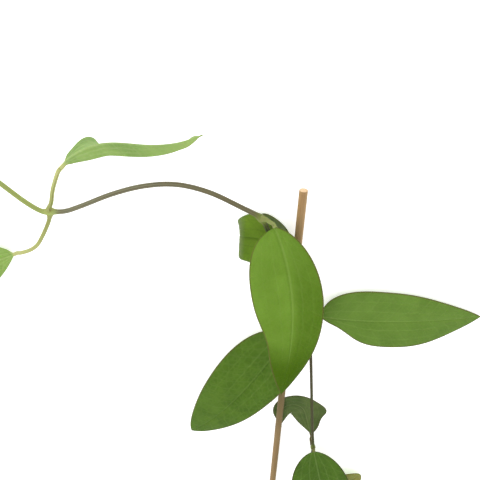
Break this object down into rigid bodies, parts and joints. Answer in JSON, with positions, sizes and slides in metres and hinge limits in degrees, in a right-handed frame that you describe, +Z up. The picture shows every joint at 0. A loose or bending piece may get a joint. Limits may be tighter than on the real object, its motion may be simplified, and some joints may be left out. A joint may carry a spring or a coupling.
{
  "type": "clematis shoot on cane",
  "caption": "Young clematis shoot with opposite simple leaves and a growing tip, lying on a surface with the thin cane that it climbs.",
  "frame": {"origin": "middle of the underside of the whole piece's box, on the surface that it lies on", "axes": "+Z up off the surface, +Y along the cane towards its head, +X to the right seen from above with the cane's head away"},
  "size_m": [0.2974, 0.3044, 0.0362],
  "materials": {
    "leaf": "fresh green leaf blade, satin, with a thin brown margin",
    "young_leaf": "light green young leaf blade, satin",
    "shaded_leaf": "dull dark green leaf blade",
    "stem": "ribbed olive to purple brown vine stem",
    "cane": "bare split cane, matt, with lengthwise fibres"
  },
  "bodies": {
    "root": {"cane": "cane", "vine_stem": "stem", "leaf_a_front": "leaf", "leaf_a_back": "leaf", "leaf_b_right": "leaf", "leaf_b_left": "leaf", "leaf_c_upper": "young_leaf", "leaf_c_lower": "young_leaf", "leaf_d_front": "leaf", "leaf_d_back": "shaded_leaf", "side_leaf": "young_leaf", "tip_leaf_left": "young_leaf", "tip_leaf_right": "young_leaf"}
  },
  "joints": []
}
